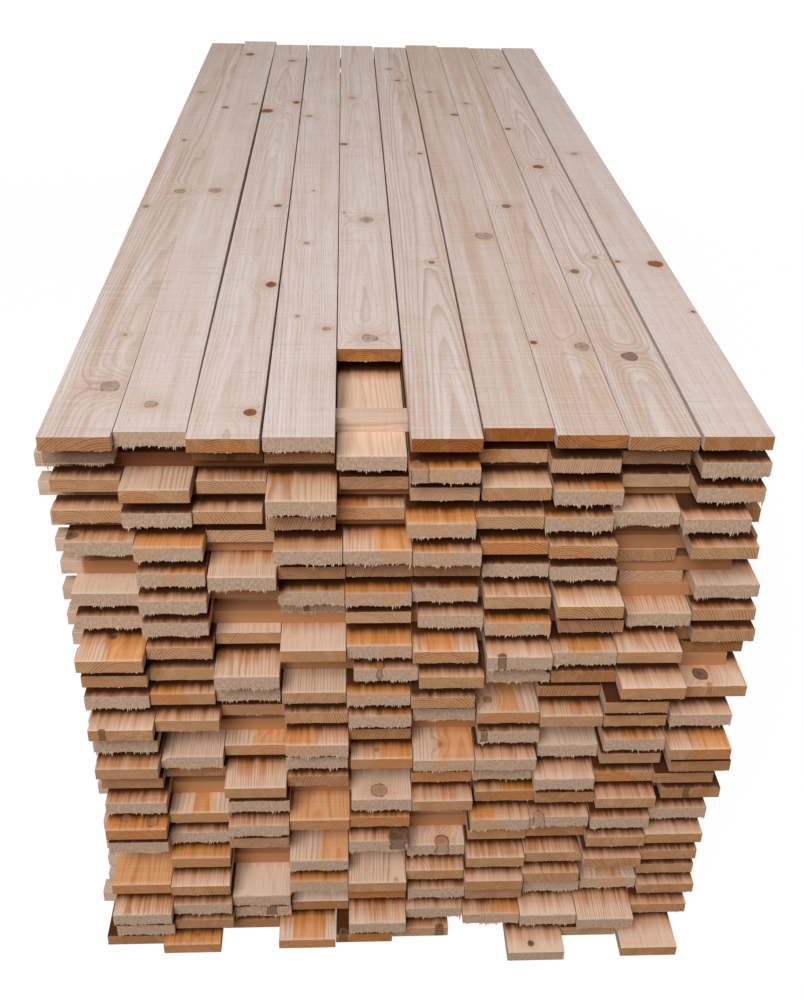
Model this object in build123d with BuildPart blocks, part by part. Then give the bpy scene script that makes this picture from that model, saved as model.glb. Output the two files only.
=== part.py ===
from build123d import *
import os

# Stack of rough sawn softwood boards, kept apart for drying by laths laid
# across every layer. Millimetres; boards run along Y with their ragged ends
# towards -Y, +X to the right, +Z up. The origin is at the middle of the
# stack's box, on the floor.

# Boards
board_width = 100.0
boards_across = 10
board_thickness = 22.0
board_length = 2500.0
short_board = (1, 5)         # layer and board, counted from the top and from the left
short_board_length = 2230.0

# Laths
lath_width = 30.0
lath_thickness = 24.0
front_lath_excess = 46.0     # over the boards' joint width; most stick out on the left
inner_lath_lack = 4.0        # the others end inside the boards' edges
inner_lath_middle = -4.0     # X of these laths' middle, before the stack is centred
lath_rows = 5
lath_end_distance = 66.0     # from the nominal end of the boards to the outer laths
lath_wander = (-5.0, 3.0, 0.0, -3.0, 6.0, -1.0, 4.0)    # unevenness along Y
lath_slip = (-4.0, -4.0, 5.0, 1.0, -2.0, 4.0, 0.0)      # unevenness along X
# The laths at the front, one for each level from the top down: how far the
# lath lies behind its nominal place, how far its left end sticks out past the
# boards' nominal left edge, and what it is over the nominal length.
front_laths = (
    (29, 2, -50), (9, 45, 0), (4, 44, 0), (-6, 30, 14), (-8, 28, 14), (-1, 27, -16),
    (-5, 28, 0), (-8, 26, 0), (0, 25, 0), (-10, 25, 0), (2, 19, 0), (0, 19, 0),
    (0, 19, 0), (-1, 17, 0), (2, 16, 0), (-5, 17, 0), (-2, -28, -54), (-2, 17, 0),
    (-1, 17, 0), (2, 19, 0), (3, 22, 0), (0, 36, 0),
)

# Wane: bark edge left on a board's upper corner
wane_width = 13.0
wane_depth = 9.0
# (layer, board, side), counted from the top and from the left; side -1 is left
wane_edges = ((2, 4, 1), (5, 9, -1), (7, 4, -1), (10, 7, 1), (14, 2, -1), (19, 8, 1))

# How the boards lie, one row for each layer from the top down: how far the
# left edge lies to the right of its nominal place, the nine gaps between the
# boards, and how far each front end is set back from the nominal front, from
# left to right.
layers = (
    (-17, (1, 1, 4, 2, 3, 3, 1, 1, 5), (0, 15, -5, 0, 280, -5, 25, 5, 0, 0)),
    (-25, (5, 5, 3, 3, 2, 2, 1, 7, 7), (45, 85, 50, 42, 25, -10, 45, 15, 40, 5)),
    (-19, (2, 7, 1, 4, 1, 4, 3, 7, 1), (40, 10, 35, -20, 45, 15, 15, 5, 50, 10)),
    (-19, (1, 1, 6, 1, 1, 1, 1, 1, 1), (30, 20, 25, 10, 35, -10, 10, 5, 20, 0)),
    (-4, (1, 1, 1, 1, 1, 1, 1, 1, 8), (15, 0, 45, -10, -10, -15, 10, 0, 70, -5)),
    (-13, (11, 4, 1, 1, 1, 3, 1, 1, 1), (85, 0, -10, 15, 20, 20, 20, 10, 57, 70)),
    (-4, (2, 2, 2, 1, 1, 8, 6, 10, 10), (15, -5, 85, 15, 10, 20, 0, -25, 63, 25)),
    (-3, (1, 4, 1, 1, 10, 1, 13, 8, 4), (20, 0, 85, 55, 25, 15, -5, 0, 15, 25)),
    (0, (1, 2, 1, 1, 1, 12, 1, 1, 28), (-30, 0, 35, -10, 0, -15, -30, -20, -20, 30)),
    (0, (1, 1, 7, 7, 1, 5, 2, 1, 20), (-10, 5, -15, 80, 0, -20, -5, -10, -50, 60)),
    (-1, (1, 1, 3, 1, 1, 1, 1, 1, 34), (-5, 0, 10, 0, -5, -15, 75, 10, -30, 5)),
    (4, (1, 1, 1, 1, 3, 2, 1, 2, 6), (-30, -10, 25, 5, -5, 10, 0, -10, -10, -10)),
    (5, (1, 1, 1, 1, 4, 4, 1, 1, 1), (-5, 75, 80, -20, 15, 80, 5, 75, -15, -40)),
    (4, (1, 1, 1, 5, 1, 1, 6, 1, 11), (-20, 5, 30, 0, -5, -10, -10, 20, 0, -20)),
    (5, (1, 1, 1, 2, 2, 1, 1, 1, 1), (5, 30, -20, 5, 75, 10, 15, -10, 5, 0)),
    (9, (1, 1, 1, 1, 1, 6, 1, 1, 15), (-5, 80, -5, 75, -5, -10, 10, 5, -10, 10)),
    (7, (1, 1, 1, 1, 1, 1, 1, 3, 3), (-20, 15, -15, -5, 0, 75, -10, -5, -10, 10)),
    (5, (1, 1, 1, 1, 2, 2, 1, 1, 1), (-5, 15, 0, 75, -10, 70, 10, 15, -10, -5)),
    (5, (1, 1, 1, 1, 1, 1, 1, 1, 1), (80, 0, 75, -10, 70, 20, -10, 0, -15, 0)),
    (4, (1, 1, 1, 1, 1, 1, 1, 3, 3), (-15, -20, 80, -15, -20, 5, -20, -5, 75, 10)),
    (5, (1, 1, 1, 1, 4, 1, 5, 3, 1), (-40, -20, -5, 80, 5, 5, 0, 15, 20, 5)),
    (5, (1, 1, 1, 1, 1, 1, 1, 1, 1), (-25, -15, 10, 20, -30, 0, -15, -20, -30, 0)),
    (-18, (1, 1, 1, 1, 1, 1, 1, 1, 1), (-10, -30, 20, -25, -15, -5, 80, -60, -10, -55)),
)
# The boards aren't cut to one length: what each is over the nominal length.
top_overlength = (20.0, 40.0, 15.0, 10.0, 8.0, 0.0, 5.0, 5.0, 0.0, 10.0)
overlength = (0.0, 8.0, -6.0, 12.0, 3.0, -10.0, 6.0, 15.0, -3.0, 10.0, -8.0)

layer_pitch = board_thickness + lath_thickness
layer_count = len(layers)
level_count = layer_count - 1
joint_width = boards_across * board_width
front_lath_length = joint_width + front_lath_excess
inner_lath_length = joint_width - inner_lath_lack


def layer_floor(layer):
    """Height of the underside of a layer, counted from the top."""
    return (layer_count - 1 - layer) * layer_pitch


def board_left(layer, board):
    """X of a board's left edge, before the stack is centred."""
    shift, gaps, set_backs = layers[layer]
    return shift - joint_width / 2 + board * board_width + sum(gaps[:board])


def board_span(layer, board):
    """Y of a board's front and back end, before the stack is centred."""
    front = layers[layer][2][board]
    if (layer + 1, board + 1) == short_board:
        own_length = short_board_length
    elif layer == 0:
        own_length = board_length + top_overlength[board]
    else:
        own_length = board_length + overlength[(3 * layer + board) % len(overlength)]
    return front, front + own_length


def lath_length(level, row):
    """Length of a lath; row 0 is at the front."""
    return inner_lath_length if row else front_lath_length + front_laths[level][2]


def lath_left(level, row):
    """X of a lath's left end, before the stack is centred."""
    if row == 0:
        return -joint_width / 2 - front_laths[level][1]
    return inner_lath_middle - inner_lath_length / 2 + lath_slip[(level + 2 * row) % len(lath_slip)]


def lath_front(level, row):
    """Y of a lath's front side, before the stack is centred."""
    if row == 0:
        return lath_end_distance + front_laths[level][0]
    last_front = board_length - lath_end_distance - lath_width
    step = (last_front - lath_end_distance) / (lath_rows - 1)
    return lath_end_distance + row * step + lath_wander[(level + 3 * row) % len(lath_wander)]


# Middle of the stack's box
board_places = [(i, j) for i, row in enumerate(layers) for j in range(len(row[2]))]
lath_places = [(i, j) for i in range(level_count) for j in range(lath_rows)]
lefts = [board_left(i, j) for i, j in board_places] + [lath_left(i, j) for i, j in lath_places]
rights = [board_left(i, j) + board_width for i, j in board_places]
rights += [lath_left(i, j) + lath_length(i, j) for i, j in lath_places]
spans = [board_span(i, j) for i, j in board_places]
middle_x = (min(lefts) + max(rights)) / 2
middle_y = (min(front for front, back in spans) + max(back for front, back in spans)) / 2

os.makedirs("parts", exist_ok=True)

# Board layers, 01 on top
for i in range(layer_count):
    floor_z = layer_floor(i)
    with BuildPart() as board_layer:
        with BuildSketch(Plane.XY.offset(floor_z)):
            for j in range(len(layers[i][2])):
                front, back = board_span(i, j)
                centre_x = board_left(i, j) + board_width / 2 - middle_x
                with Locations((centre_x, (front + back) / 2 - middle_y)):
                    Rectangle(board_width, back - front)
        extrude(amount=board_thickness)
        for wane_layer, wane_board, side in wane_edges:
            if wane_layer == i + 1:
                front, back = board_span(i, wane_board - 1)
                edge_x = board_left(i, wane_board - 1) - middle_x
                if side > 0:
                    edge_x += board_width
                corner = Vector(edge_x, (front + back) / 2 - middle_y, floor_z + board_thickness)
                along = board_layer.edges().filter_by(Axis.Y)
                wane_edge = along.sort_by_distance(corner)[0]
                top_face = board_layer.faces().filter_by(Axis.Z).sort_by_distance(
                    corner - Vector(side * board_width / 2, 0, 0))[0]
                chamfer(wane_edge, length=wane_width, length2=wane_depth, reference=top_face)
    board_layer.part.label = f"board_layer_{i + 1:02d}"
    export_step(board_layer.part, f"parts/{board_layer.part.label}.step")

# Rows of laths, 1 nearest the front ends
for j in range(lath_rows):
    with BuildPart() as lath_row:
        for i in range(level_count):
            with BuildSketch(Plane.XY.offset(layer_floor(i) - lath_thickness)):
                centre_x = lath_left(i, j) + lath_length(i, j) / 2 - middle_x
                centre_y = lath_front(i, j) + lath_width / 2 - middle_y
                with Locations((centre_x, centre_y)):
                    Rectangle(lath_length(i, j), lath_width)
            extrude(amount=lath_thickness)
    lath_row.part.label = f"lath_row_{j + 1}"
    export_step(lath_row.part, f"parts/{lath_row.part.label}.step")
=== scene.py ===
"""Looks of a laid-up stack of rough sawn softwood boards with drying laths."""

import logging
import math
import random
from dataclasses import dataclass
from enum import Enum
from typing import Dict, List, Sequence, Tuple, Union

import bmesh
import bpy
from mathutils import Matrix, Vector


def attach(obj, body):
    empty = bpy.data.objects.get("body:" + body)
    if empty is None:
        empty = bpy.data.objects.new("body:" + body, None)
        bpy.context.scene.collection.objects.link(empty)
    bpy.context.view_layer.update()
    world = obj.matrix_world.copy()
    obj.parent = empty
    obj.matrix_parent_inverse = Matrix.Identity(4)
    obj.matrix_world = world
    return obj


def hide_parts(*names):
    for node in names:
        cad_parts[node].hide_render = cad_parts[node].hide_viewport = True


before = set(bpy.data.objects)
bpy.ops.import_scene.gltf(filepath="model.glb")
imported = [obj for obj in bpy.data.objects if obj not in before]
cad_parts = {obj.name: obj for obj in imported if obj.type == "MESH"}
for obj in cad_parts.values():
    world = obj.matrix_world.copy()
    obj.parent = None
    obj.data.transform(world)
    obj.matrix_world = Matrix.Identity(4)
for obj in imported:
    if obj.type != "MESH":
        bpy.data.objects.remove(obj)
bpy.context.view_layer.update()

log = logging.getLogger("lumber")

Pair = Tuple[float, float]
Triple = Tuple[float, float, float]
Colour = Triple
Number = Union["Wire", float]
Material = bpy.types.Material
BMesh = bmesh.types.BMesh
Verts = List[bmesh.types.BMVert]
Box = Tuple[Vector, Vector]
Layers = Dict[str, object]
MM = 0.001
TOP_KNOT_COUNT = 6
INNER_KNOT_COUNT = 2
BOARD_SHIFT = 3.0     # metres along the grain from one board's wood to the next one's
NO_KNOT = (9.0, -9.0, 0.0005)    # where no board reaches
LATH_ROWS = 5
LEVEL = 0.7           # a face's normal counts as up or down beyond this
END_ON = 0.75         # and as pointing along the grain beyond this


def stored(mesh: BMesh, name: str) -> bpy.types.Mesh:
    """Writes a mesh that is under construction into the file, and frees it."""
    data = bpy.data.meshes.new(name)
    mesh.to_mesh(data)
    mesh.free()
    return data


def placed(name: str, data: bpy.types.ID) -> bpy.types.Object:
    """Puts a new object into the scene."""
    made = bpy.data.objects.new(name, data)
    bpy.context.scene.collection.objects.link(made)
    return made


class Wire:
    """One output socket of a finish, with the arithmetic that a finish needs."""

    def __init__(self, sheet: "NodeSheet", socket: bpy.types.NodeSocket) -> None:
        """Keeps the socket and the sheet that it belongs to."""
        self.sheet = sheet
        self.socket = socket

    def __add__(self, other: Number) -> "Wire":
        """Sum."""
        return self.sheet.math("ADD", self, other)

    def __radd__(self, other: Number) -> "Wire":
        """Sum, with a plain number on the left."""
        return self.sheet.math("ADD", other, self)

    def __sub__(self, other: Number) -> "Wire":
        """Difference."""
        return self.sheet.math("SUBTRACT", self, other)

    def __rsub__(self, other: Number) -> "Wire":
        """Difference, with a plain number on the left."""
        return self.sheet.math("SUBTRACT", other, self)

    def __mul__(self, other: Number) -> "Wire":
        """Product."""
        return self.sheet.math("MULTIPLY", self, other)

    def __truediv__(self, other: Number) -> "Wire":
        """Quotient."""
        return self.sheet.math("DIVIDE", self, other)

    def whole(self) -> "Wire":
        """Whole part, rounded down."""
        return self.sheet.math("FLOOR", self)

    def part(self) -> "Wire":
        """Part behind the point."""
        return self.sheet.math("FRACT", self)

    def root(self) -> "Wire":
        """Square root."""
        return self.sheet.math("SQRT", self)

    def exp(self) -> "Wire":
        """Natural exponential."""
        return self.sheet.math("EXPONENT", self)

    def at_least(self, other: Number) -> "Wire":
        """The larger of the two."""
        return self.sheet.math("MAXIMUM", self, other)

    def at_most(self, other: Number) -> "Wire":
        """The smaller of the two."""
        return self.sheet.math("MINIMUM", self, other)

    def equals(self, other: float) -> "Wire":
        """1 where the value is the given whole number, else 0."""
        return self.sheet.math("COMPARE", self, other, 0.5)

    def step(self, low: float, high: float) -> "Wire":
        """Smooth rise from 0 at low to 1 at high."""
        node = self.sheet.node("ShaderNodeMapRange", {"interpolation_type": "SMOOTHSTEP"},
                               {"Value": self, "From Min": low, "From Max": high})
        return self.sheet.wire(node, "Result")


class NodeSheet:
    """A node tree, filled by one method for all nodes."""

    def __init__(self, holder: bpy.types.ID) -> None:
        """Clears the tree of a material or world."""
        holder.use_nodes = True
        self.tree = holder.node_tree
        self.tree.nodes.clear()

    def node(self, kind: str, settings: Dict[str, object], inputs: Dict[object, object]) -> bpy.types.Node:
        """Adds a node: first its settings, then its sockets.

        Args:
            kind: the node's type name.
            settings: attributes of the node.
            inputs: a value or a Wire for each named or numbered socket.

        Returns:
            The new node.
        """
        made = self.tree.nodes.new(kind)
        for key, value in settings.items():
            setattr(made, key, value)
        for key, value in inputs.items():
            socket = made.inputs[key]
            if isinstance(value, Wire):
                self.tree.links.new(value.socket, socket)
            else:
                socket.default_value = value
        return made

    def wire(self, node: bpy.types.Node, output: Union[str, int] = 0) -> Wire:
        """Wraps one output of a node."""
        return Wire(self, node.outputs[output])

    def math(self, operation: str, *values: Number) -> Wire:
        """Adds a Math node.

        Args:
            operation: the Math node's operation.
            values: wires or numbers, in the node's order.

        Returns:
            The node's result.
        """
        return self.wire(self.node("ShaderNodeMath", {"operation": operation}, dict(enumerate(values))))

    def attribute(self, name: str) -> Wire:
        """Reads a vector that the mesh carries."""
        made = self.node("ShaderNodeAttribute", {"attribute_type": "GEOMETRY", "attribute_name": name}, {})
        return self.wire(made, "Vector")

    def parts(self, name: str) -> Tuple[Wire, Wire, Wire]:
        """Reads a vector that the mesh carries, as three numbers."""
        made = self.node("ShaderNodeSeparateXYZ", {}, {0: self.attribute(name)})
        return self.wire(made, 0), self.wire(made, 1), self.wire(made, 2)

    def noise(self, vector: Wire, scale: float, detail: float = 2.0, roughness: float = 0.5) -> Wire:
        """Cloudy noise about 0.5.

        Args:
            vector: where the noise is read.
            scale: its fineness.
            detail: how many finer layers it has.
            roughness: how strong the finer layers are.

        Returns:
            The noise's value.
        """
        made = self.node("ShaderNodeTexNoise", {"noise_dimensions": "3D"},
                         {"Vector": vector, "Scale": scale, "Detail": detail, "Roughness": roughness})
        return self.wire(made, 0)

    def grain(self, vector: Wire, by: Triple, detail: float = 2.0, roughness: float = 0.6) -> Wire:
        """Noise with a fineness for each axis."""
        made = self.node("ShaderNodeVectorMath", {"operation": "MULTIPLY"}, {0: vector, 1: by})
        return self.noise(self.wire(made), 1.0, detail, roughness)

    def scatter(self, value: Wire) -> Wire:
        """A random number from 0 to 1 for each whole number."""
        made = self.node("ShaderNodeTexWhiteNoise", {"noise_dimensions": "1D"}, {"W": value})
        return self.wire(made, "Value")

    def blend(self, factor: Number, first: object, second: object) -> Wire:
        """Mixes two colours.

        Args:
            factor: how much of the second.
            first: a Wire or a colour.
            second: a Wire or a colour.

        Returns:
            The mixed colour.
        """
        first, second = (end if isinstance(end, Wire) else (*end, 1.0) for end in (first, second))
        made = self.node("ShaderNodeMix", {"data_type": "RGBA", "clamp_factor": True},
                         {0: factor, 6: first, 7: second})
        return self.wire(made, 2)

    def layered(self, colour: object, *coats: Tuple[Number, object]) -> Wire:
        """Lays coats over a colour, one after the other.

        Args:
            colour: a Wire or a colour.
            coats: how much of each coat, and its colour.

        Returns:
            The colour with all coats.
        """
        for factor, coat in coats:
            colour = self.blend(factor, colour, coat)
        return colour


class KnotKind(Enum):
    """How a knot looks."""

    RINGED = 0
    DARK = 1
    RED = 2


DARK, RED = KnotKind.DARK, KnotKind.RED


@dataclass(frozen=True)
class Knot:
    """A knot, its place and radius in mm from its board's left edge and front end."""

    across: float
    along: float
    radius: float
    kind: KnotKind = KnotKind.RINGED


class WoodField:
    """Growth rings, knots and heartwood of a board.

    The mesh carries the place of each point from the tree's pith, the knots
    of its board and a few numbers of its own, so rings run on from a face
    round to the end.
    """

    wander_reach: float = 0.026     # metres that the rings wander
    wobble_reach: float = 0.003     # metres that they tremble
    taper: float = 0.011            # how fast they widen along the tree

    def __init__(self, sheet: NodeSheet, knots: int) -> None:
        """Builds the shared part of every wood finish.

        Args:
            sheet: the finish's node sheet.
            knots: how many of the board's knots are read.
        """
        self.place = sheet.attribute("grain")
        across, along, through = sheet.parts("grain")
        self.tint, self.fresh, spacing = sheet.parts("tone")
        heart_radius, seed, self.contrast = sheet.parts("heart")
        depth = along - seed * BOARD_SHIFT
        # under: how far a point lies under the board above, from which the finishes paint shade; end:
        # distance from the nearer end
        front_cover, back_cover, length = sheet.parts("cover")
        self.under = (depth - front_cover).at_most(length - depth - back_cover)
        self.end = depth.at_most(length - depth)

        distance = (across * across + through * through).root()
        wander = sheet.grain(self.place, (7.0, 1.0, 7.0), 1.0, 0.4) - 0.5
        wobble = sheet.grain(self.place, (70.0, 7.0, 70.0), 1.0, 0.5) - 0.5
        swirl = distance * 0.0
        self.core = self.rim = self.red = self.dark = self.halo = self.eye = self.whorl = swirl
        for number in range(1, knots + 1):
            knot_x, knot_y, knot_size = sheet.parts(f"knot_{number}")
            kind = knot_size.whole()
            radius = knot_size.part().at_least(0.0005)
            side, ahead = across - knot_x, (along - knot_y) * 0.84
            reach = (side * side + ahead * ahead) / (radius * radius)
            swirl = swirl + radius * 1.3 * (reach * -0.15).exp()
            edge = reach.root() + wobble * 0.9
            inside = 1.0 - edge.step(0.9, 1.08)
            self.core = self.core.at_least(inside)
            self.rim = self.rim.at_least(inside * edge.step(0.7, 0.95))
            self.eye = self.eye.at_least(1.0 - (edge + wobble * 1.5).step(0.15, 0.6))
            self.whorl = self.whorl.at_least(inside * ((edge + wobble * 0.4) * 4.0).part().step(0.3, 0.9))
            self.red = self.red.at_least(inside * kind.equals(KnotKind.RED.value))
            self.dark = self.dark.at_least(inside * kind.equals(KnotKind.DARK.value))
            self.halo = self.halo.at_least((reach * -0.2).exp())
        shaken = wander * self.wander_reach + wobble * self.wobble_reach
        phase = (distance + shaken + along * self.taper + swirl) / spacing
        cell = phase.part()
        year = sheet.scatter(phase.whole() + seed)
        self.late = cell.step(0.4, 0.92) * (1.0 - cell.step(0.93, 1.0)) * (0.35 + year * 0.65)
        zone = distance + wander * 0.012 + wobble * 0.006
        self.heart = 1.0 - (zone - heart_radius).step(-0.0016, 0.0016)


class Finish:
    """A finish: its colours are fields, and paint lays them on."""

    name: str
    specular: float = 0.1
    relief: float = 0.8 * MM      # height of the fibres
    relief_share: float = 0.7     # how much of it shows

    def build(self) -> Material:
        """Builds the material.

        Returns:
            The finished material.
        """
        material = bpy.data.materials.new(self.name)
        sheet = NodeSheet(material)
        colour, roughness, height = self.paint(sheet)
        bump = sheet.node("ShaderNodeBump", {},
                          {"Strength": self.relief_share, "Distance": self.relief, "Height": height})
        shader = sheet.node("ShaderNodeBsdfPrincipled", {},
                            {"Base Color": colour, "Roughness": roughness,
                             "Normal": sheet.wire(bump, "Normal"), "Specular IOR Level": self.specular})
        sheet.node("ShaderNodeOutputMaterial", {}, {"Surface": sheet.wire(shader)})
        return material

    def paint(self, sheet: NodeSheet) -> Tuple[Wire, Wire, Wire]:
        """Lays the colours on; gives colour, roughness and height."""
        raise NotImplementedError


@dataclass(frozen=True)
class DryFaceFinish(Finish):
    """Long faces that lie open to the air, dusty and pale; where the finish paints cover shade, the parts
    under a board turn moist brown and dark as painted shade.
    """

    name: str = "dry_face"
    relief: float = 0.9 * MM
    knots: int = TOP_KNOT_COUNT
    # True paints shade on the parts that lie under a board above
    painted_cover_shade: bool = False
    specular: float = 0.22
    # moist: brown of wood kept moist under cover, partly painted shade; shade: painted shadow deep under
    # cover
    moist: Colour = (0.47, 0.225, 0.1)
    shade: Colour = (0.11, 0.02, 0.004)
    pale: Colour = (0.71, 0.62, 0.585)
    warm: Colour = (0.64, 0.5, 0.425)
    dust: Colour = (0.76, 0.7, 0.69)
    tan: Colour = (0.53, 0.34, 0.215)
    late: Colour = (0.4, 0.265, 0.195)
    heart: Colour = (0.58, 0.39, 0.265)
    grey: Colour = (0.42, 0.34, 0.29)
    knot_grey: Colour = (0.45, 0.35, 0.28)
    knot_dark: Colour = (0.13, 0.06, 0.03)
    knot_red: Colour = (0.33, 0.09, 0.025)
    knot_rim: Colour = (0.13, 0.08, 0.055)

    def paint(self, sheet: NodeSheet) -> Tuple[Wire, Wire, Wire]:
        """Lays the colours on."""
        wood = WoodField(sheet, self.knots)
        fibre = sheet.grain(wood.place, (420.0, 7.0, 420.0))
        streak = sheet.grain(wood.place, (46.0, 1.3, 46.0))
        cloud = sheet.grain(wood.place, (9.0, 4.0, 9.0))
        saw = sheet.grain(wood.place, (2.5, 150.0, 2.5), 1.0, 0.5)
        score = sheet.grain(wood.place, (9.0, 70.0, 9.0), 1.0, 0.5)
        speck = sheet.grain(wood.place, (210.0, 70.0, 210.0), 3.0, 0.65)

        knot = sheet.layered(
            self.knot_grey,
            (wood.dark, self.knot_dark),
            (wood.red, self.knot_red),
            (speck.step(0.35, 0.7) * 0.35, self.knot_rim),
            (wood.whorl * 0.35, self.knot_rim),
            (wood.eye * 0.55, self.knot_dark))
        colour = sheet.layered(
            self.pale,
            (wood.tint.step(0.2, 1.0) * 0.85, self.warm),
            (cloud.step(0.45, 0.75) * 0.45, self.warm),
            (wood.heart * 0.42, self.heart),
            (streak.step(0.5, 0.7) * (0.15 + wood.tint * 0.55), self.tan),
            ((1.0 - streak).step(0.52, 0.72) * 0.6, self.dust),
            (wood.halo * 0.6, self.heart),
            (wood.late * wood.contrast * 0.85, self.late),
            ((1.0 - fibre).step(0.45, 0.75) * 0.36, self.tan),
            (saw.step(0.5, 0.68) * 0.22, self.dust),
            (score.step(0.65, 0.73) * 0.2, self.grey),
            (speck.step(0.58, 0.72) * 0.45, self.grey))
        # Painted shade: under a board above, the colour turns moist brown and, the higher the fresh value,
        # the nearer to the near-black painted shadow.
        if self.painted_cover_shade:
            inside = sheet.blend(wood.fresh, self.moist, self.shade)
            colour = sheet.blend((1.0 - wood.under.step(-0.003, 0.003)) * 0.96, colour, inside)
        colour = sheet.layered(
            colour,
            (wood.core * (0.72 + wood.red * 0.24), knot),
            (wood.rim * speck.step(0.35, 0.62) * 0.7, self.knot_rim))
        height = fibre * 0.4 + saw * 0.4 + speck * 0.3
        return colour, 0.74 + fibre * 0.12, height


SIDE_FACE = DryFaceFinish(name="side_face", knots=INNER_KNOT_COUNT, pale=(0.66, 0.5, 0.38),
                          warm=(0.58, 0.38, 0.25), dust=(0.7, 0.57, 0.47), tan=(0.5, 0.29, 0.16))
# Laths take the painted shade where boards lie on them.
LATH_FACE = DryFaceFinish(name="lath_face", knots=INNER_KNOT_COUNT, painted_cover_shade=True, specular=0.08,
                          pale=(0.69, 0.54, 0.43), warm=(0.6, 0.4, 0.25), dust=(0.7, 0.55, 0.44),
                          tan=(0.5, 0.29, 0.15), late=(0.42, 0.22, 0.11))


@dataclass(frozen=True)
class InnerFaceFinish(Finish):
    """Flat faces inside the stack: pale at the open end, moist orange behind, darkened further under the
    board above as painted shade.
    """

    name: str = "inner_face"
    relief: float = 0.9 * MM
    pale: Colour = (0.88, 0.665, 0.53)
    dull: Colour = (0.68, 0.455, 0.285)
    # rim: paler colour of saw marks, also used for the painted highlight along each end
    rim: Colour = (0.79, 0.62, 0.49)
    late: Colour = (0.47, 0.235, 0.105)
    # moist: orange of moist wood, streaked more strongly under the board above as painted shade
    moist: Colour = (0.6, 0.19, 0.036)
    heart: Colour = (0.8, 0.36, 0.115)
    heart_late: Colour = (0.6, 0.185, 0.04)
    # deep: moist orange-red under the board above, partly painted shade; shade: painted shadow at the back
    # of the slot
    moist_and_shade_behind: Colour = (0.54, 0.19, 0.045)
    shade: Colour = (0.06, 0.014, 0.003)
    knot_grey: Colour = (0.5, 0.27, 0.16)
    knot_dark: Colour = (0.2, 0.125, 0.08)
    knot_red: Colour = (0.45, 0.15, 0.05)
    knot_rim: Colour = (0.07, 0.03, 0.016)

    def paint(self, sheet: NodeSheet) -> Tuple[Wire, Wire, Wire]:
        """Lays the colours on."""
        wood = WoodField(sheet, INNER_KNOT_COUNT)
        fibre = sheet.grain(wood.place, (420.0, 16.0, 420.0))
        streak = sheet.grain(wood.place, (110.0, 5.0, 110.0), 2.0, 0.65)
        saw = sheet.grain(wood.place, (4.0, 230.0, 4.0), 1.0, 0.5)
        # Painted shade: behind darkens the face to moist orange-red from the front edge of the board above,
        # far to near black further under it; moist streaks and heartwood grow stronger there too.
        behind = (wood.under + (streak - 0.5) * 0.04).step(-0.03, 0.012)
        far = (wood.under + (streak - 0.5) * 0.02).step(0.0, 0.02)
        wet_and_shade = streak.step(0.46, 0.66) * wood.fresh * (0.3 + behind * 0.7)

        late = sheet.blend(wood.heart, self.late, self.heart_late)
        knot = sheet.layered(
            self.knot_grey,
            (wood.dark, self.knot_dark),
            (wood.red, self.knot_red),
            (wood.whorl * 0.65, self.knot_rim),
            (wood.eye * (0.3 + wood.dark * 0.5), self.knot_rim))
        colour = sheet.layered(
            self.pale,
            (wood.tint, self.dull),
            (wood.heart * (0.8 + behind * 0.2), self.heart),
            ((wet_and_shade + wood.halo * 0.5) * 0.85, self.moist),
            (wood.late * wood.contrast, late),
            ((1.0 - fibre).step(0.45, 0.75) * 0.3, self.late),
            (saw.step(0.5, 0.7) * 0.14, self.rim),
            # Painted highlight: a paler strip within a few mm of each end, where the edge catches light.
            ((1.0 - wood.end.step(0.002, 0.008)) * 0.45, self.rim),
            # Painted shade under the board above.
            (behind * 0.66, self.moist_and_shade_behind),
            (far * 0.94, self.shade),
            (wood.core * (0.6 + wood.dark * 0.3), knot),
            (wood.rim * streak.step(0.35, 0.6) * 0.9, self.knot_rim))
        height = fibre * 0.5 + saw * 0.5
        return colour, 0.74 + fibre * 0.12, height


@dataclass(frozen=True)
class UnderFaceFinish(Finish):
    """Undersides, painted dark as shade, so that the slots between layers look dark."""

    name: str = "under_face"
    # moist and dull: dark browns that paint shade on the undersides
    moist: Colour = (0.2, 0.085, 0.03)
    dull: Colour = (0.34, 0.19, 0.1)

    def paint(self, sheet: NodeSheet) -> Tuple[Wire, Wire, Wire]:
        """Lays the colours on."""
        place = sheet.attribute("grain")
        fibre = sheet.grain(place, (420.0, 16.0, 420.0))
        streak = sheet.grain(place, (80.0, 3.0, 80.0))
        colour = sheet.layered(self.moist, (streak.step(0.35, 0.65), self.dull),
                               (fibre.step(0.5, 0.75) * 0.4, self.moist))
        return colour, 0.76 + fibre * 0.12, fibre


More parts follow.
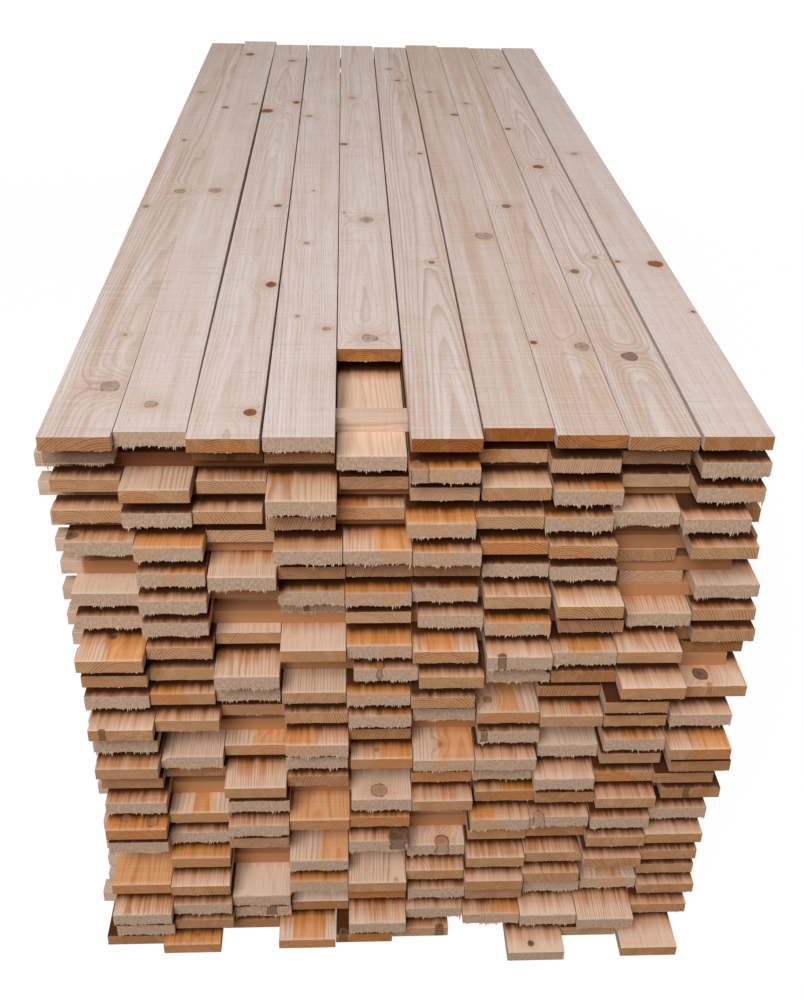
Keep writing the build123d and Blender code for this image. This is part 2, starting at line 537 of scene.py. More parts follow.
@dataclass(frozen=True)
class SmoothEndFinish(Finish):
    """Board ends that the saw cut clean, so that the rings show."""

    name: str = "smooth_end"
    specular: float = 0.25
    relief_share: float = 0.8
    early: Colour = (0.5, 0.255, 0.1)
    late: Colour = (0.22, 0.075, 0.018)
    dry: Colour = (0.6, 0.4, 0.25)
    heart: Colour = (0.58, 0.22, 0.055)
    heart_late: Colour = (0.27, 0.065, 0.012)
    brown: Colour = (0.34, 0.11, 0.02)
    brown_late: Colour = (0.09, 0.022, 0.005)
    # shade: painted shadow for ends set back under a board
    shade: Colour = (0.13, 0.04, 0.01)
    knot: Colour = (0.08, 0.035, 0.015)

    def paint(self, sheet: NodeSheet) -> Tuple[Wire, Wire, Wire]:
        """Lays the colours on."""
        wood = WoodField(sheet, INNER_KNOT_COUNT)
        pores = sheet.noise(wood.place, 600.0, 2.0, 0.65)
        cloud = sheet.noise(wood.place, 40.0, 3.0, 0.6)
        scratch = sheet.grain(wood.place, (420.0, 1.0, 90.0), 2.0, 0.65)
        moist = wood.fresh.step(0.9, 1.6)
        stained = wood.heart * (0.35 + wood.fresh.step(0.8, 1.0) * 0.5)
        late = sheet.layered(self.late, (wood.heart * 0.7, self.heart_late), (moist * 0.8, self.brown_late))
        colour = sheet.layered(
            self.early,
            (wood.tint * 0.85, self.dry),
            (moist, self.brown),
            (stained * cloud.step(0.25, 0.65), self.heart),
            (wood.late, late),
            (cloud.step(0.48, 0.7) * (0.45 - moist * 0.3) * (1.0 - stained), self.dry),
            (pores.step(0.48, 0.7) * 0.5, late),
            (scratch.step(0.5, 0.7) * (0.35 - moist * 0.2), self.dry),
            (wood.core * (0.2 + wood.dark * pores * 0.9), self.knot),
            (wood.rim * pores.step(0.35, 0.6) * 0.7, self.knot),
            # Painted shade: ends set back under the board above darken to a deep red-brown.
            (wood.under.step(0.02, 0.07) * 0.8, self.shade))
        height = pores * 0.6 + scratch * 0.5
        return colour, 0.64 + pores * 0.2, height


@dataclass(frozen=True)
class TornEndFinish(Finish):
    """Board ends that the saw tore, grey and woolly."""

    name: str = "torn_end"
    relief: float = 1.2 * MM
    relief_share: float = 0.6
    wool: Colour = (0.55, 0.405, 0.305)
    pit: Colour = (0.42, 0.28, 0.185)
    tip: Colour = (0.65, 0.52, 0.425)
    ring: Colour = (0.4, 0.25, 0.15)
    stain: Colour = (0.6, 0.3, 0.11)
    knot: Colour = (0.09, 0.045, 0.022)
    # shade: painted shadow for ends set back under a board
    shade: Colour = (0.15, 0.06, 0.02)

    def paint(self, sheet: NodeSheet) -> Tuple[Wire, Wire, Wire]:
        """Lays the colours on."""
        wood = WoodField(sheet, INNER_KNOT_COUNT)
        wool = sheet.grain(wood.place, (420.0, 420.0, 170.0))
        tufts = sheet.grain(wood.place, (240.0, 240.0, 120.0), 1.0, 0.6)
        cloud = sheet.noise(wood.place, 26.0, 1.0, 0.5)
        colour = sheet.layered(
            self.pit,
            (wool.step(0.3, 0.62), self.wool),
            (tufts.step(0.48, 0.7) * 0.5, self.tip),
            (wood.late * 0.35, self.ring),
            (wood.heart * cloud.step(0.4, 0.65) * 0.45, self.stain),
            (wood.core * (0.15 + wood.dark * wool * 0.9), self.knot),
            (wood.rim * wool.step(0.3, 0.55) * 0.85, self.knot),
            # Painted shade: ends set back under the board above darken to a deep brown.
            (wood.under.step(0.02, 0.07) * 0.8, self.shade))
        height = wool * 0.6 + tufts * 0.6
        return colour, 0.86 + wool * 0.1, height


@dataclass(frozen=True)
class SplinterFinish(Finish):
    """Pale fibres that hang from a torn edge."""

    name: str = "splinters"
    specular: float = 0.12
    relief: float = 0.6 * MM
    relief_share: float = 0.6
    root: Colour = (0.42, 0.27, 0.165)
    tip: Colour = (0.64, 0.5, 0.37)

    def paint(self, sheet: NodeSheet) -> Tuple[Wire, Wire, Wire]:
        """Lays the colours on."""
        place = sheet.attribute("grain")
        fibre = sheet.grain(place, (500.0, 120.0, 160.0))
        colour = sheet.blend(fibre.step(0.3, 0.65), self.root, self.tip)
        return colour, 0.8 + fibre * 0.1, fibre


class Slot(Enum):
    """Where each finish sits on a piece."""

    OPEN = 0
    INNER = 1
    SMOOTH = 2
    TORN = 3
    SPLINTER = 4
    UNDER = 5


class EndCut(Enum):
    """How a board's end looks."""

    SMOOTH = "S"
    TORN = "F"
    DULL = "B"
    ORANGE = "O"


@dataclass
class BoardLook:
    """What one board looks like, in board measures (metres)."""

    pith: Pair
    seed: float
    tint: float
    fresh: float
    ring_spacing: float
    heart_radius: float
    contrast: float
    knots: List[Knot]
    front: EndCut
    back: EndCut
    cover: Triple = (0.0, 0.0, 3.0)


@dataclass
class SplinterComb:
    """Strips of splinters, made once and copied along the board ends."""

    teeth: int
    longest: float               # metres
    variants: int
    seed: int
    thickness: float = 0.8 * MM
    swing: float = 0.28          # how much the length swells along the strip
    short: Pair = (0.04, 0.2)    # every other tooth: least length, and what chance adds
    long: Pair = (0.28, 0.72)    # the teeth between
    sway: float = 0.7            # of the teeth's distance, to either side
    lean: Pair = (-0.3, 0.15)    # of the length, forward and back
    lap: float = 0.1             # of the longest, up over the edge

    def __post_init__(self) -> None:
        """Makes the strips."""
        chance = random.Random(self.seed)
        self.strips = [self._strip(chance, f"comb_{self.seed}_{n}") for n in range(self.variants)]

    def _strip(self, chance: random.Random, name: str) -> bpy.types.Mesh:
        """One strip, a metre wide, hanging down from z 0 and facing -Y."""
        comb = bmesh.new()
        bmesh.ops.create_grid(comb, x_segments=2 * self.teeth, y_segments=1, size=0.5)
        bmesh.ops.rotate(comb, verts=comb.verts, matrix=Matrix.Rotation(math.pi / 2, 3, "X"))
        comb.verts.ensure_lookup_table()
        upper = sorted((v for v in comb.verts if v.co.z > 0), key=lambda v: v.co.x)
        lower = sorted((v for v in comb.verts if v.co.z <= 0), key=lambda v: v.co.x)
        swell = chance.uniform(0.0, math.tau)
        for index, (top, bottom) in enumerate(zip(upper, lower)):
            drift = 1.0 - self.swing + self.swing * math.sin(swell + 5.0 * index / self.teeth)
            length = self.longest * (self.short[0] + self.short[1] * chance.random()) * drift
            if index % 2:
                length = self.longest * (self.long[0] + self.long[1] * chance.random() ** 2.0) * drift
            inner = 0 < index < len(upper) - 1
            shift = chance.uniform(-self.sway, self.sway) / (2 * self.teeth) if inner else 0.0
            top.co.z = self.longest * self.lap
            bottom.co = Vector((top.co.x + shift, chance.uniform(*self.lean) * length, -length))
        bmesh.ops.solidify(comb, geom=comb.faces[:], thickness=self.thickness)
        bmesh.ops.recalc_face_normals(comb, faces=comb.faces)
        return stored(comb, name)


@dataclass
class WoodBuilder:
    """Turns the plain solids of a node into dressed boards or laths."""

    open_face: DryFaceFinish
    shared: Sequence[Material]
    long_comb: SplinterComb
    short_comb: SplinterComb
    edge_round: float = 0.9 * MM
    weld: float = 0.01 * MM

    def __post_init__(self) -> None:
        """Builds the open faces' finish and puts all finishes in slot order."""
        self.materials = [self.open_face.build(), *self.shared]
        self.knots = self.open_face.knots

    def pieces_of(self, node: str, axis: int) -> Tuple[BMesh, List[Box]]:
        """Copies a node's solids, merged, with the box of each.

        Args:
            node: the node's name.
            axis: along which the boxes are sorted.

        Returns:
            The merged copy, and the lowest and highest corner of each solid.
        """
        copy = bmesh.new()
        copy.from_mesh(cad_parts[node].data)
        bmesh.ops.remove_doubles(copy, verts=copy.verts, dist=self.weld)
        bmesh.ops.dissolve_limit(copy, angle_limit=0.02, verts=copy.verts, edges=copy.edges)
        boxes: List[Box] = []
        seen = set()
        for start in copy.verts:
            if start in seen:
                continue
            group, stack = [], [start]
            seen.add(start)
            while stack:
                vert = stack.pop()
                group.append(vert.co)
                for edge in vert.link_edges:
                    other = edge.other_vert(vert)
                    if other not in seen:
                        seen.add(other)
                        stack.append(other)
            low = Vector(min(co[k] for co in group) for k in range(3))
            high = Vector(max(co[k] for co in group) for k in range(3))
            boxes.append((low, high))
        boxes.sort(key=lambda box: box[0][axis])
        return copy, boxes

    def round_edges(self, mesh: BMesh) -> None:
        """Rounds all edges a little."""
        bmesh.ops.bevel(mesh, geom=mesh.edges[:], offset=self.edge_round, segments=2, profile=0.5,
                        affect="EDGES", material=-1)

    @staticmethod
    def shared_out(mesh: BMesh, boxes: Sequence[Box], axis: int) -> List[Verts]:
        """Gives each vertex to the nearest box along an axis."""
        middles = [(low[axis] + high[axis]) / 2 for low, high in boxes]
        owners: List[Verts] = [[] for _ in boxes]
        for vert in mesh.verts:
            owners[min(range(len(middles)), key=lambda i: abs(middles[i] - vert.co[axis]))].append(vert)
        return owners

    def layers_for(self, mesh: BMesh) -> Layers:
        """The vertex layers that the finishes read."""
        store = mesh.verts.layers.float_vector
        names = ["grain", "tone", "heart", "cover"] + [f"knot_{n}" for n in range(1, self.knots + 1)]
        return {name: store.new(name) for name in names}

    def mark(self, verts: Verts, layers: Layers, low: Vector, look: BoardLook,
             turned: bool = False) -> None:
        """Writes a board's look on its vertices.

        Args:
            verts: the board's vertices, in their place.
            layers: the layers from layers_for.
            low: the board's lowest corner.
            look: the board's look.
            turned: True for a lath, whose grain runs along X.
        """
        shift = BOARD_SHIFT * look.seed
        count = self.knots
        knots = [Vector((k.across * MM - look.pith[0], k.along * MM + shift, k.kind.value + k.radius * MM))
                 for k in look.knots[:count]]
        knots += [Vector(NO_KNOT)] * (count - len(knots))
        for vert in verts:
            place = vert.co - low
            across, along = (place.y, place.x) if turned else (place.x, place.y)
            vert[layers["grain"]] = Vector((across - look.pith[0], along + shift, place.z - look.pith[1]))
            vert[layers["tone"]] = Vector((look.tint, look.fresh, look.ring_spacing))
            vert[layers["heart"]] = Vector((look.heart_radius, look.seed, look.contrast))
            vert[layers["cover"]] = Vector(look.cover)
            for number, knot in enumerate(knots, 1):
                vert[layers[f"knot_{number}"]] = knot

    @staticmethod
    def in_order(mesh: BMesh) -> BMesh:
        """Writes a cut mesh anew, so that what is added next comes last."""
        data = stored(mesh, "in_order")
        fresh = bmesh.new()
        fresh.from_mesh(data)
        bpy.data.meshes.remove(data)
        return fresh

    @staticmethod
    def add_comb(mesh: BMesh, comb: SplinterComb, chance: random.Random, place: Vector,
                 size: Triple) -> Verts:
        """Copies a strip of splinters into the mesh.

        Args:
            mesh: the piece's mesh.
            comb: the strips to choose from.
            chance: the random choice.
            place: where the middle of the strip's edge goes.
            size: the strip's scale, axis by axis.

        Returns:
            The strip's vertices.
        """
        old_verts, old_faces = len(mesh.verts), len(mesh.faces)
        mesh.from_mesh(chance.choice(comb.strips))
        mesh.verts.ensure_lookup_table()
        mesh.faces.ensure_lookup_table()
        verts = mesh.verts[old_verts:]
        for face in mesh.faces[old_faces:]:
            face.material_index = Slot.SPLINTER.value
        move = Matrix.Translation(place) @ Matrix.Diagonal((*size, 1.0))
        bmesh.ops.transform(mesh, matrix=move, verts=verts)
        return verts

    def finish(self, mesh: BMesh, name: str, node: str, slot: str) -> None:
        """Args:
            mesh: the finished mesh, in place.
            name: the object's name.
            node: the node that it stands for.
            slot: not used.
        """
        piece = placed(name, stored(mesh, name))
        for material in self.materials:
            piece.data.materials.append(material)
        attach(piece, "root")
        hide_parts(node)
        log.info("%s: %d faces", name, len(piece.data.polygons))


# End of every board, layer by layer from the top, board by board from the left.
END_CUTS: Tuple[str, ...] = (
    "SFSFOSSOSS", "FBBSFFOSBF", "SOSFBSSFSF", "SFOBSFSFFF", "FFSFFFOOBS",
    "SFFBBBFFBS", "FFBFFFSSSF", "FFFFSFFBFO", "SSSSFSFFSS", "SSFSFSFBSB",
    "FOFOFSSBSS", "SSBSFFSSSF", "FSSFBSFSFO", "SFSFOFFFBB", "BBSBSOFFOB",
    "FSFSFSBBSB", "OSFSOSFFFF", "FFBSFSSBSS", "SSSFSFSSSS", "OSSFSSSSSS",
    "FFFSBFBFFS", "FBFBFFFFFS", "BSBSBSSFSS",
)

# Knots that stand out on the top layer, board by board from the left; see Knot.
TOP_KNOTS: Dict[int, Tuple[Tuple, ...]] = {
    1: ((75, 150, 15), (72, 1050, 12), (14, 950, 7), (38, 1430, 6, DARK),
        (30, 1890, 9), (70, 330, 4)),
    2: ((42, 80, 10), (46, 1040, 13), (30, 2350, 14, DARK), (8, 1720, 9, DARK),
        (84, 1760, 8)),
    3: ((86, 545, 10, RED), (78, 965, 8, DARK), (14, 1710, 17, RED),
        (60, 2290, 13), (84, 75, 9, RED), (88, 1800, 12, RED)),
    4: ((40, 745, 6), (34, 405, 4), (84, 355, 7), (22, 1660, 9), (46, 1060, 3, DARK)),
    5: ((51, 40, 13), (56, 600, 14), (9, 1130, 9, DARK), (32, 1570, 9),
        (10, 640, 3, DARK)),
    6: ((69, 655, 6, DARK), (84, 1345, 7, DARK), (60, 2060, 9, DARK),
        (40, 2200, 8)),
    7: ((76, 765, 17), (93, 1665, 11, DARK), (40, 1900, 8)),
    8: ((42, 965, 10, DARK), (82, 285, 13), (7, 300, 6, RED),
        (34, 500, 2, DARK), (30, 1800, 8)),
    9: ((52, 255, 13, DARK), (22, 610, 9, DARK), (44, 1245, 13, RED),
        (12, 1560, 8, DARK), (74, 680, 6), (60, 2230, 12)),
    10: ((78, 650, 15, RED), (92, 430, 5, DARK), (8, 660, 6, DARK),
         (42, 1350, 9)),
}

# How the top boards were sawn from the log: X and Z of the pith from the
# board's lower left corner, ring spacing and heart radius in mm, tint,
# contrast of the rings, and sideways bow.
TOP_SAWING: Tuple[Tuple[float, float, float, float, float, float, float], ...] = (
    (95, -62, 4.2, 20, 0.6, 0.7, -0.8),
    (-70, -40, 2.6, 10, 0.15, 0.35, -2.6),
    (52, -38, 3.6, 55, 0.25, 0.50, 2.4),
    (-30, -90, 3.1, 10, 0.20, 0.40, 0.8),
    (45, -28, 4.0, 45, 0.20, 0.45, 0.2),
    (66, -30, 4.6, 24, 0.5, 0.8, 0.0),
    (150, 30, 2.2, 10, 0.65, 0.60, 0.5),
    (64, 58, 4.4, 58, 0.40, 0.60, 0.2),
    (58, -26, 4.2, 34, 0.50, 0.65, 1.0),
    (-60, -70, 3.4, 10, 0.10, 0.35, 0.2),
)

# How the flat faces look in each layer, from the top and from the left: pale,
# streaked, dull, or orange all over, on the left, in the middle or on the right.
FACE_TONES: Tuple[str, ...] = (
    "pppppppppp", "pdpppodddd", "psssddprdr", "pppdloslpp", "soddrlosps",
    "prsddddpdp", "ppdrorspdp", "ssdddpodss", "rsppompmss", "pssdppsppp",
    "pldsosdppp", "psdsrdmspp", "sddlsdpdmr", "ssrprrspdp", "dssddoppls",
    "sdsdpsrpsp", "omsoodlpsp", "spddsdspsp", "dodrdpssps", "opdosspsds",
    "sdpdosddmp", "dddpsprpss", "podmoddpdp",
)

# Knots near the front ends that stand out below the top layer: layer and board,
# then the knot's own numbers.
INNER_KNOTS: Tuple[Tuple, ...] = (
    (2, 3, 55, 3, 7, DARK), (2, 6, 14, 6, 14), (5, 1, 9, 19, 10, DARK), (8, 4, 40, -3, 5, DARK),
    (9, 7, 23, 3, 7, DARK), (10, 5, 18, 24, 8, DARK), (10, 5, 40, 8, 8, RED),
    (11, 10, 32, 30, 13, DARK), (11, 10, 40, 4, 5), (12, 1, 22, -3, 6, DARK), (12, 7, 19, 31, 7, RED),
    (13, 7, 10, 1, 6, DARK), (14, 3, 60, 47, 6, RED), (14, 6, 46, 37, 5), (16, 5, 46, 21, 12),
    (16, 10, 42, -4, 7, DARK), (17, 1, 29, 27, 8), (17, 1, 76, 17, 9), (17, 8, 16, 2, 11),
    (18, 5, 84, 9, 16, DARK), (19, 6, 61, 7, 13, RED), (22, 3, 65, -4, 9, DARK),
    (23, 5, 13, 3, 9, DARK), (23, 6, 84, 0, 8, DARK),
)


class FaceTone(Enum):
    """How a flat face inside the stack is coloured."""

    PALE = "p"
    STREAKED = "s"
    DULL = "d"
    ORANGE = "o"
    LEFT = "l"
    MIDDLE = "m"
    RIGHT = "r"

    def band(self, chance: random.Random) -> Pair:
        """Middle and half width of the orange band in mm, the width 0 where there is none."""
        middle, half = {FaceTone.ORANGE: (49, 66), FaceTone.LEFT: (20, 30), FaceTone.MIDDLE: (50, 21),
                        FaceTone.RIGHT: (78, 31)}.get(self, (chance.choice((-60, 20, 75, 160)), 0))
        return middle + chance.uniform(-6, 6), half


# Tint, moistness and contrast of the rings for each tone; orange bands share the last.
TONE_LOOKS: Dict[FaceTone, Triple] = {
    FaceTone.DULL: (0.8, 0.4, 0.5), FaceTone.PALE: (0.1, 0.25, 0.35), FaceTone.STREAKED: (0.3, 0.95, 0.9),
}
HEART_LOOK = (0.25, 0.8, 0.7)


@dataclass
class BoardLayer:
    """One layer of boards, dressed."""

    number: int
    builder: WoodBuilder
    cuts: str
    tones: str
    above: Sequence[Pair] = ()
    ends: Sequence[Pair] = ()
    bow_steps: int = 14
    first_seed: int = 100
    thickness: float = 22.0       # mm
    pith_depth: Pair = (14.0, 55.0)    # mm from the underside down
    painted_light_tint_rise: float = 0.35       # painted light: how much duller the faces get towards the top, so that lower layers look more brightly lit
    knot_share: float = 0.12      # of the other boards, with a knot near the front
    plain_share: float = 0.45     # of the clean ends, without splinters
    upper_share: float = 0.5      # of the torn ends, with splinters on top too
    upper_size: float = -0.8      # these point up

    def looks(self, chance: random.Random, count: int) -> List[BoardLook]:
        """Chooses what each board of the layer looks like.

        Args:
            chance: the random choice of this layer.
            count: how many boards.

        Returns:
            One look for each board, from the left.
        """
        found = []
        for index in range(count):
            front = EndCut(self.cuts[index])
            back = chance.choice((EndCut.SMOOTH, EndCut.SMOOTH, EndCut.TORN, EndCut.ORANGE, EndCut.DULL))
            seed = 10.0 * (self.number - 1) + index
            if self.number == 1:
                x, z, spacing, heart, tint, contrast, _ = TOP_SAWING[index]
                brown = 1.6 if index in (5, 6) else 1.4 if front is EndCut.ORANGE else 1.22
                found.append(BoardLook((x * MM, z * MM), seed, tint, brown, spacing * MM, heart * MM,
                                       contrast, [Knot(*row) for row in TOP_KNOTS[index + 1]], front, back))
                continue
            tone = FaceTone(self.tones[index])
            middle, half = tone.band(chance)
            below = chance.uniform(*self.pith_depth)
            heart = math.hypot(half, below + self.thickness) if half else chance.uniform(0.0, below)
            tint, fresh, contrast = TONE_LOOKS.get(tone, HEART_LOOK)
            # Painted light: the lower the layer, the paler its tint.
            tint += self.painted_light_tint_rise * (1.0 - self.number / len(END_CUTS))
            if front is EndCut.ORANGE:
                heart, fresh = max(heart, below + self.thickness - 2.0), 1.0
            elif front is EndCut.DULL:
                fresh = max(fresh, 1.25)
            knots = [Knot(*row[2:]) for row in INNER_KNOTS if row[:2] == (self.number, index + 1)]
            if not knots and chance.random() < self.knot_share:
                knots = [Knot(chance.uniform(6, 92), chance.uniform(18, 60), chance.uniform(3, 7),
                              chance.choice((DARK, RED)))]
            knots += [Knot(chance.uniform(6, 92), chance.uniform(300, 2300), chance.uniform(5, 14))]
            found.append(BoardLook((middle * MM, -below * MM), seed, tint + chance.uniform(-0.1, 0.1),
                                   fresh + chance.uniform(-0.1, 0.05), chance.uniform(2.2, 4.6) * MM,
                                   heart * MM, contrast + chance.uniform(-0.1, 0.1), knots, front, back))
        return found

    def build(self) -> None:
        """Builds the layer."""
        chance = random.Random(self.first_seed + self.number)
        node = f"board_layer_{self.number:02d}"
        mesh, boxes = self.builder.pieces_of(node, 0)
        looks = self.looks(chance, len(boxes))
        self.ends = [(low.y, high.y) for low, high in boxes]
        for look, (front, back), (front_above, back_above) in zip(looks, self.ends, self.above or self.ends):
            # How far the boards above reach over each end, which the finishes turn into painted shade.
            look.cover = (front_above - front, back - back_above, back - front)
        self.builder.round_edges(mesh)
        if self.number == 1:
            self._split_along(mesh, boxes)
        mesh = self.builder.in_order(mesh)
        layers = self.builder.layers_for(mesh)
        owners = self.builder.shared_out(mesh, boxes, 0)
        owner_of = {vert: index for index, verts in enumerate(owners) for vert in verts}
        for face in mesh.faces:
            look = looks[owner_of[face.verts[0]]]
            face.material_index = self._slot_for(face, look).value
            face.smooth = False
        for index, (low, high) in enumerate(boxes):
            owners[index] += self._combs(mesh, chance, low, high, looks[index])
        for index, (low, high) in enumerate(boxes):
            self.builder.mark(owners[index], layers, low, looks[index])
        if self.number == 1:
            self._bow(boxes, owners)
        self.builder.finish(mesh, f"boards_{self.number:02d}", node, "sawn_board")

    def _slot_for(self, face: bmesh.types.BMFace, look: BoardLook) -> Slot:
        """Which finish a face takes."""
        # Undersides take the painted shade of the under-face finish.
        if face.normal.z < -LEVEL:
            return Slot.UNDER
        if abs(face.normal.y) < END_ON:
            return Slot.INNER if face.normal.z > LEVEL and self.number > 1 else Slot.OPEN
        cut = look.front if face.normal.y < 0 else look.back
        return Slot.TORN if cut is EndCut.TORN else Slot.SMOOTH

    def _combs(self, mesh: BMesh, chance: random.Random, low: Vector, high: Vector,
               look: BoardLook) -> Verts:
        """Sets splinters along both ends of a board."""
        added: Verts = []
        if self.number == len(END_CUTS):
            return added
        width = high.x - low.x - MM
        inset = self.builder.edge_round * 0.5
        for cut, y, facing in ((look.front, low.y, 1.0), (look.back, high.y, -1.0)):
            torn = cut is EndCut.TORN
            if not torn and chance.random() < self.plain_share:
                continue
            comb = self.builder.long_comb if torn else self.builder.short_comb
            place = Vector(((low.x + high.x) / 2, y + facing * inset, low.z + inset))
            size = (width, facing, chance.uniform(0.75, 1.25))
            added += self.builder.add_comb(mesh, comb, chance, place, size)
            if torn and chance.random() < self.upper_share and self.number > 1:
                place.z, size = high.z - inset, (width, facing, self.upper_size)
                added += self.builder.add_comb(mesh, self.builder.short_comb, chance, place, size)
        return added

    def _split_along(self, mesh: BMesh, boxes: Sequence[Box]) -> None:
        """Cuts the boards across so that they can bow."""
        front, back = min(low.y for low, _ in boxes), max(high.y for _, high in boxes)
        for step in range(1, self.bow_steps):
            y = front + (back - front) * step / self.bow_steps
            bmesh.ops.bisect_plane(mesh, geom=mesh.verts[:] + mesh.edges[:] + mesh.faces[:],
                                   plane_co=(0, y, 0), plane_no=(0, 1, 0))

    def _bow(self, boxes: Sequence[Box], owners: Sequence[Verts]) -> None:
        """Bends each board a little sideways."""
        for index, (low, high) in enumerate(boxes):
            bow = TOP_SAWING[index][6] * MM
            for vert in owners[index]:
                share = (vert.co.y - low.y) / (high.y - low.y)
                vert.co.x += bow * math.sin(math.pi * min(1.0, max(0.0, share)))


@dataclass
class LathRow:
    """One row of laths, dressed."""

    number: int
    builder: WoodBuilder
    slot: Pair = (-0.1125, -0.006)
    outer_edge: float = -0.495
    far_left: float = -1.0
    first_seed: int = 500

    def build(self) -> None:
        """Builds the row."""
        chance = random.Random(self.first_seed + self.number)
        node = f"lath_row_{self.number}"
        mesh, boxes = self.builder.pieces_of(node, 2)
        self.builder.round_edges(mesh)
        layers = self.builder.layers_for(mesh)
        owners = self.builder.shared_out(mesh, boxes, 2)
        for face in mesh.faces:
            torn = math.floor(face.calc_center_median().z * 500) % 2
            end = Slot.TORN if torn else Slot.SMOOTH
            face.material_index = (end if abs(face.normal.x) > END_ON else Slot.OPEN).value
        for index, (low, high) in enumerate(boxes):
            knots = [Knot(chance.uniform(2, 28), chance.uniform(30, 1040), chance.uniform(2, 5), DARK)]
            below = len(boxes) - index
            upper = below == 1
            start, end = self.slot if upper and self.number == 1 else (self.far_left, self.outer_edge)
            # Painted shade on each lath except where it sticks out or lies in the top layer's slot: the lath
            # right under the top layer gets the full painted shadow, the next one most of it.
            look = BoardLook((chance.uniform(-0.06, 0.08), chance.uniform(-0.06, 0.06)),
                             230.0 + 22.0 * (self.number - 1) + index, chance.uniform(0.0, 0.6),
                             1.0 if upper else 0.7 if below == 2 else chance.choice((0.0, 0.15, 0.4)),
                             chance.uniform(1.8, 3.2) * MM, chance.uniform(0.0, 0.05), 0.7, knots,
                             EndCut.SMOOTH, EndCut.SMOOTH, (start - low.x, high.x - end, high.x - low.x))
            self.builder.mark(owners[index], layers, low, look, turned=True)
        self.builder.finish(mesh, f"laths_{self.number}", node, "lath")


@dataclass(frozen=True)
class Lamp:
    """A large soft lamp that points at the stack."""

    name: str
    place: Triple
    size: float
    power: float
    aim_height: float = 0.6

    def build(self) -> None:
        """Builds the lamp."""
        data = bpy.data.lights.new(self.name, "AREA")
        data.shape = "SQUARE"
        data.size = self.size
        data.energy = self.power
        lamp = placed(self.name, data)
        lamp.location = self.place
        aim = Vector((0.0, 0.0, self.aim_height)) - Vector(self.place)
        lamp.rotation_euler = aim.to_track_quat("-Z", "Y").to_euler()


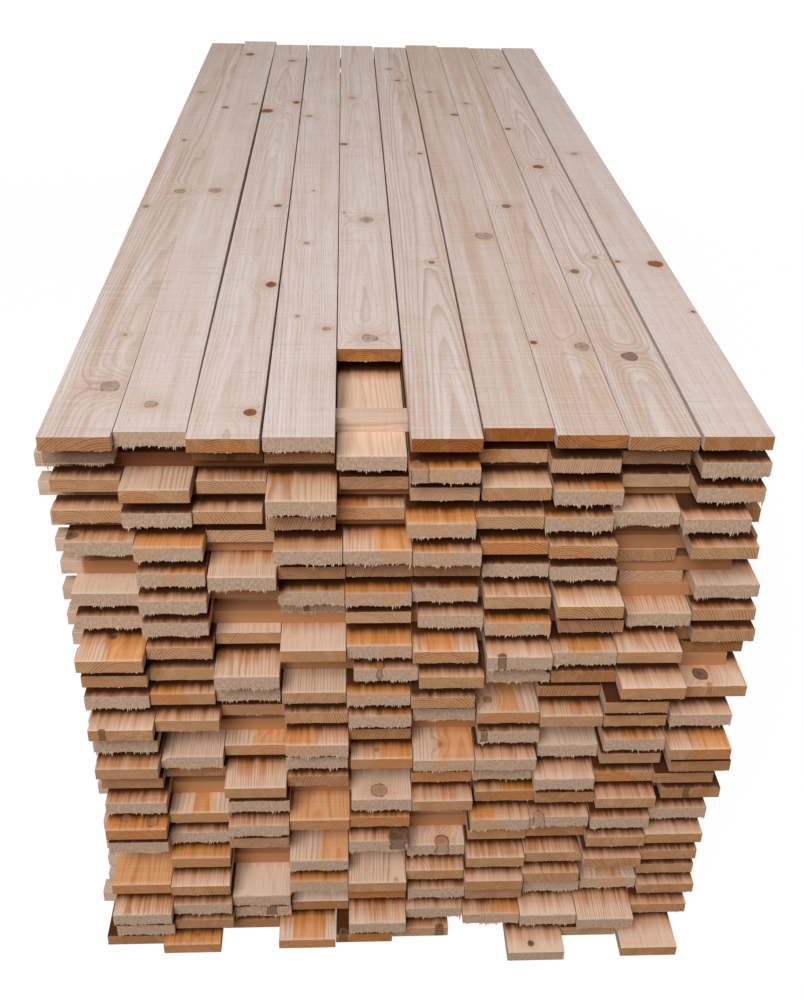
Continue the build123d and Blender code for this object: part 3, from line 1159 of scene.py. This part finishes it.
@dataclass(frozen=True)
class Studio:
    """Floor, soft light and white background."""

    floor_size: float = 40.0
    floor_colour: Colour = (0.2, 0.125, 0.08)
    white: Colour = (0.96, 0.96, 0.96)
    sky_strength: float = 0.11
    sky_colour: Colour = (1.0, 0.68, 0.45)
    glow_share: float = 0.93                       # near the stack; the rest keeps the shadow
    glow_strength: float = 1.03
    shadow_reach: Pair = (2.5, 6.0)
    lamps: Tuple[Lamp, ...] = (
        Lamp("key", (-2.2, -6.8, 6.6), 4.2, 700.0),
        Lamp("over", (0.3, -1.2, 5.4), 4.5, 60.0),
        Lamp("rear", (3.4, 6.4, 2.6), 4.0, 115.0),
    )

    def build(self) -> None:
        """Builds floor, world and lamps."""
        self._floor()
        self._world()
        for lamp in self.lamps:
            lamp.build()

    def _floor(self) -> None:
        """A plain floor that looks white and keeps the shadow."""
        plane = bmesh.new()
        bmesh.ops.create_grid(plane, x_segments=1, y_segments=1, size=self.floor_size / 2)
        floor = placed("floor", stored(plane, "floor"))
        material = bpy.data.materials.new("floor")
        sheet = NodeSheet(material)
        path = sheet.node("ShaderNodeLightPath", {}, {})
        seen = sheet.wire(path, "Is Camera Ray").at_least(sheet.wire(path, "Is Glossy Ray"))
        matte = sheet.node("ShaderNodeBsdfDiffuse", {},
                           {"Color": sheet.blend(seen, self.floor_colour, self.white)})
        glow = sheet.node("ShaderNodeEmission", {},
                          {"Color": (1.0, 1.0, 1.0, 1.0), "Strength": self.glow_strength})
        away = sheet.node("ShaderNodeVectorMath", {"operation": "LENGTH"},
                          {0: sheet.wire(sheet.node("ShaderNodeTexCoord", {}, {}), "Object")})
        far = sheet.wire(away, "Value").step(*self.shadow_reach)
        share = seen * (self.glow_share + far * (1.0 - self.glow_share))
        mixed = sheet.node("ShaderNodeMixShader", {}, {0: share, 1: sheet.wire(matte), 2: sheet.wire(glow)})
        sheet.node("ShaderNodeOutputMaterial", {}, {"Surface": sheet.wire(mixed)})
        floor.data.materials.append(material)

    def _world(self) -> None:
        """An even warm sky, white where the camera sees it."""
        world = bpy.data.worlds.new("sky")
        bpy.context.scene.world = world
        sheet = NodeSheet(world)
        seen = sheet.wire(sheet.node("ShaderNodeLightPath", {}, {}), "Is Camera Ray")
        level = sheet.node("ShaderNodeMapRange", {},
                           {"Value": seen, "To Min": self.sky_strength, "To Max": 1.0})
        sky = sheet.node("ShaderNodeBackground", {},
                         {"Color": sheet.blend(seen, self.sky_colour, (1.0, 1.0, 1.0)),
                          "Strength": sheet.wire(level, "Result")})
        sheet.node("ShaderNodeOutputWorld", {}, {"Surface": sheet.wire(sky)})


@dataclass(frozen=True)
class PhotoCamera:
    """The camera's place, found from the photograph's perspective."""

    place: Triple = (-0.09835, -2.7029, 1.8541)
    yaw: float = math.radians(-3.117)
    dip: float = math.radians(29.848)
    roll: float = math.radians(1.503)
    image_height: float = 1000.0
    focal_px: float = 1202.2
    axis_above_middle_px: float = 60.1
    sensor: float = 36.0

    def build(self) -> None:
        """Makes the camera and makes it the scene's own."""
        data = bpy.data.cameras.new("camera")
        data.sensor_width = self.sensor
        data.lens = self.focal_px * self.sensor / self.image_height
        data.shift_y = -self.axis_above_middle_px / self.image_height
        data.clip_end = 200.0
        turn = (Matrix.Rotation(self.yaw, 4, "Z") @ Matrix.Rotation(math.pi / 2 - self.dip, 4, "X")
                @ Matrix.Rotation(self.roll, 4, "Z"))
        camera = placed("camera", data)
        camera.matrix_world = Matrix.Translation(self.place) @ turn
        bpy.context.scene.camera = camera


def main() -> None:
    """Builds camera, studio and every piece in order."""
    logging.basicConfig(level=logging.INFO, format="%(message)s")
    bpy.context.scene.view_settings.view_transform = "Standard"
    PhotoCamera().build()
    Studio().build()
    combs = (SplinterComb(teeth=30, longest=0.0115, variants=12, seed=1),
             SplinterComb(teeth=24, longest=0.003, variants=6, seed=2))
    shared = [finish.build() for finish in (InnerFaceFinish(), SmoothEndFinish(), TornEndFinish(),
                                            SplinterFinish(), UnderFaceFinish())]
    top, inner, laths = (WoodBuilder(face, shared, *combs)
                         for face in (DryFaceFinish(), SIDE_FACE, LATH_FACE))
    above: Sequence[Pair] = ()
    for index, (cuts, tones) in enumerate(zip(END_CUTS, FACE_TONES)):
        layer = BoardLayer(index + 1, inner if index else top, cuts, tones, above)
        layer.build()
        above = layer.ends
    for number in range(1, LATH_ROWS + 1):
        LathRow(number, laths).build()


if __name__ == "__main__":
    main()
